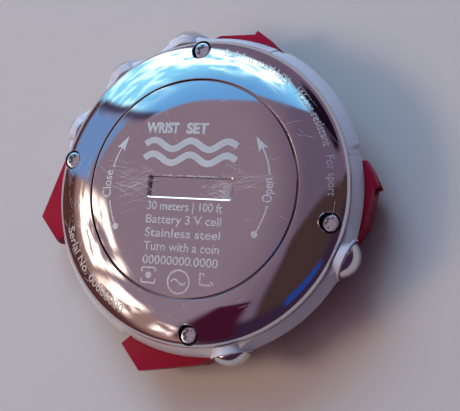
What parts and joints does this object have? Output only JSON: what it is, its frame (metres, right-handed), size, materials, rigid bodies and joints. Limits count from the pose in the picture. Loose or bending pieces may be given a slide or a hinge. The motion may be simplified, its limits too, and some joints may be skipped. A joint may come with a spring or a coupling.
{
  "type": "wrist computer",
  "caption": "Round wrist sports computer head, face down: steel back with coin-slot battery cover, white guards, red lugs and push buttons.",
  "frame": {"origin": "on the watch axis, in the plane of the front rim that the watch lies on", "axes": "+Z out of the case back, +Y towards 12 o'clock, +X towards 9 o'clock (the wearer's left)"},
  "size_m": [0.0437, 0.0426, 0.0115],
  "materials": {
    "polished_steel": "mirror polish with fine scratches",
    "brushed_steel": "circular brushing",
    "screw_steel": "satin",
    "white_plastic": "semi-gloss moulding",
    "red_plastic": "semi-gloss moulding",
    "lens_glass": "polished",
    "lcd_glass": "semi-gloss display film",
    "dial_plastic": "fine matt with printed marks",
    "clear_plastic": "clear moulding",
    "module_plastic": "moulded",
    "board_green": "solder mask",
    "chip_black": "moulded",
    "ferrite": "sintered",
    "copper_wire": "enamelled winding",
    "gold_contact": "plated",
    "cell_steel": "satin",
    "spring_steel": "drawn wire",
    "seal_rubber": "moulded",
    "zebra_rubber": "layered strip"
  },
  "bodies": {
    "case": {"front_bezel": "brushed_steel", "lens": "lens_glass", "lens_gasket": "seal_rubber", "main_case": "red_plastic", "guard_2_to_4_oclock": "white_plastic", "guard_8_to_10_oclock": "white_plastic", "guard_12_oclock": "white_plastic", "guard_6_oclock": "white_plastic", "case_back": "polished_steel", "case_back_gasket": "seal_rubber", "case_back_screws": "screw_steel", "battery": "cell_steel", "battery_negative_contact": "gold_contact", "battery_positive_contact": "gold_contact", "battery_holder": "module_plastic", "circuit_board": "board_green", "processor_chip": "chip_black", "radio_chip": "chip_black", "quartz_crystal": "cell_steel", "buzzer": "chip_black", "antenna_rod": "ferrite", "antenna_coil": "copper_wire", "button_switches": "cell_steel", "display_holder": "module_plastic", "lcd_connectors": "zebra_rubber", "light_guide": "clear_plastic", "backlight_leds": "clear_plastic", "lcd_panel": "lcd_glass", "lcd_polariser": "lcd_glass", "dial_ring": "dial_plastic", "spring_10_oclock": "spring_steel", "spring_8_oclock": "spring_steel", "spring_2_oclock": "spring_steel", "spring_3_oclock": "spring_steel", "spring_4_oclock": "spring_steel"},
    "battery_cover_assembly": {"battery_cover": "polished_steel", "battery_cover_gasket": "seal_rubber"},
    "push_button_10_oclock": {"button_10_oclock": "polished_steel", "seal_10_oclock": "seal_rubber", "clip_10_oclock": "spring_steel"},
    "push_button_8_oclock": {"button_8_oclock": "polished_steel", "seal_8_oclock": "seal_rubber", "clip_8_oclock": "spring_steel"},
    "push_button_2_oclock": {"button_2_oclock": "polished_steel", "seal_2_oclock": "seal_rubber", "clip_2_oclock": "spring_steel"},
    "push_button_3_oclock": {"button_3_oclock": "polished_steel", "seal_3_oclock": "seal_rubber", "clip_3_oclock": "spring_steel"},
    "push_button_4_oclock": {"button_4_oclock": "polished_steel", "seal_4_oclock": "seal_rubber", "clip_4_oclock": "spring_steel"}
  },
  "joints": [
    {"name": "battery_cover_turn", "type": "hinge", "parent": "case", "child": "battery_cover_assembly", "pos_m": [0, 0, 0.011], "axis": [0, 0, 1], "range_deg": [0, 45]},
    {"name": "press_10_oclock", "type": "slide", "parent": "case", "child": "push_button_10_oclock", "axis": [-0.8829, -0.4695, 0], "range_m": [0, 0.0006], "stiffness_N_per_m": 1200, "springref_m": -0.0005, "deforming": ["spring_10_oclock"]},
    {"name": "press_8_oclock", "type": "slide", "parent": "case", "child": "push_button_8_oclock", "axis": [-0.9026, 0.4305, 0], "range_m": [0, 0.0006], "stiffness_N_per_m": 1200, "springref_m": -0.0005, "deforming": ["spring_8_oclock"]},
    {"name": "press_2_oclock", "type": "slide", "parent": "case", "child": "push_button_2_oclock", "axis": [0.8763, -0.4818, 0], "range_m": [0, 0.0006], "stiffness_N_per_m": 1200, "springref_m": -0.0005, "deforming": ["spring_2_oclock"]},
    {"name": "press_3_oclock", "type": "slide", "parent": "case", "child": "push_button_3_oclock", "axis": [0.9996, -0.0297, 0], "range_m": [0, 0.0006], "stiffness_N_per_m": 1200, "springref_m": -0.0005, "deforming": ["spring_3_oclock"]},
    {"name": "press_4_oclock", "type": "slide", "parent": "case", "child": "push_button_4_oclock", "axis": [0.9011, 0.4337, 0], "range_m": [0, 0.0006], "stiffness_N_per_m": 1200, "springref_m": -0.0005, "deforming": ["spring_4_oclock"]}
  ]
}
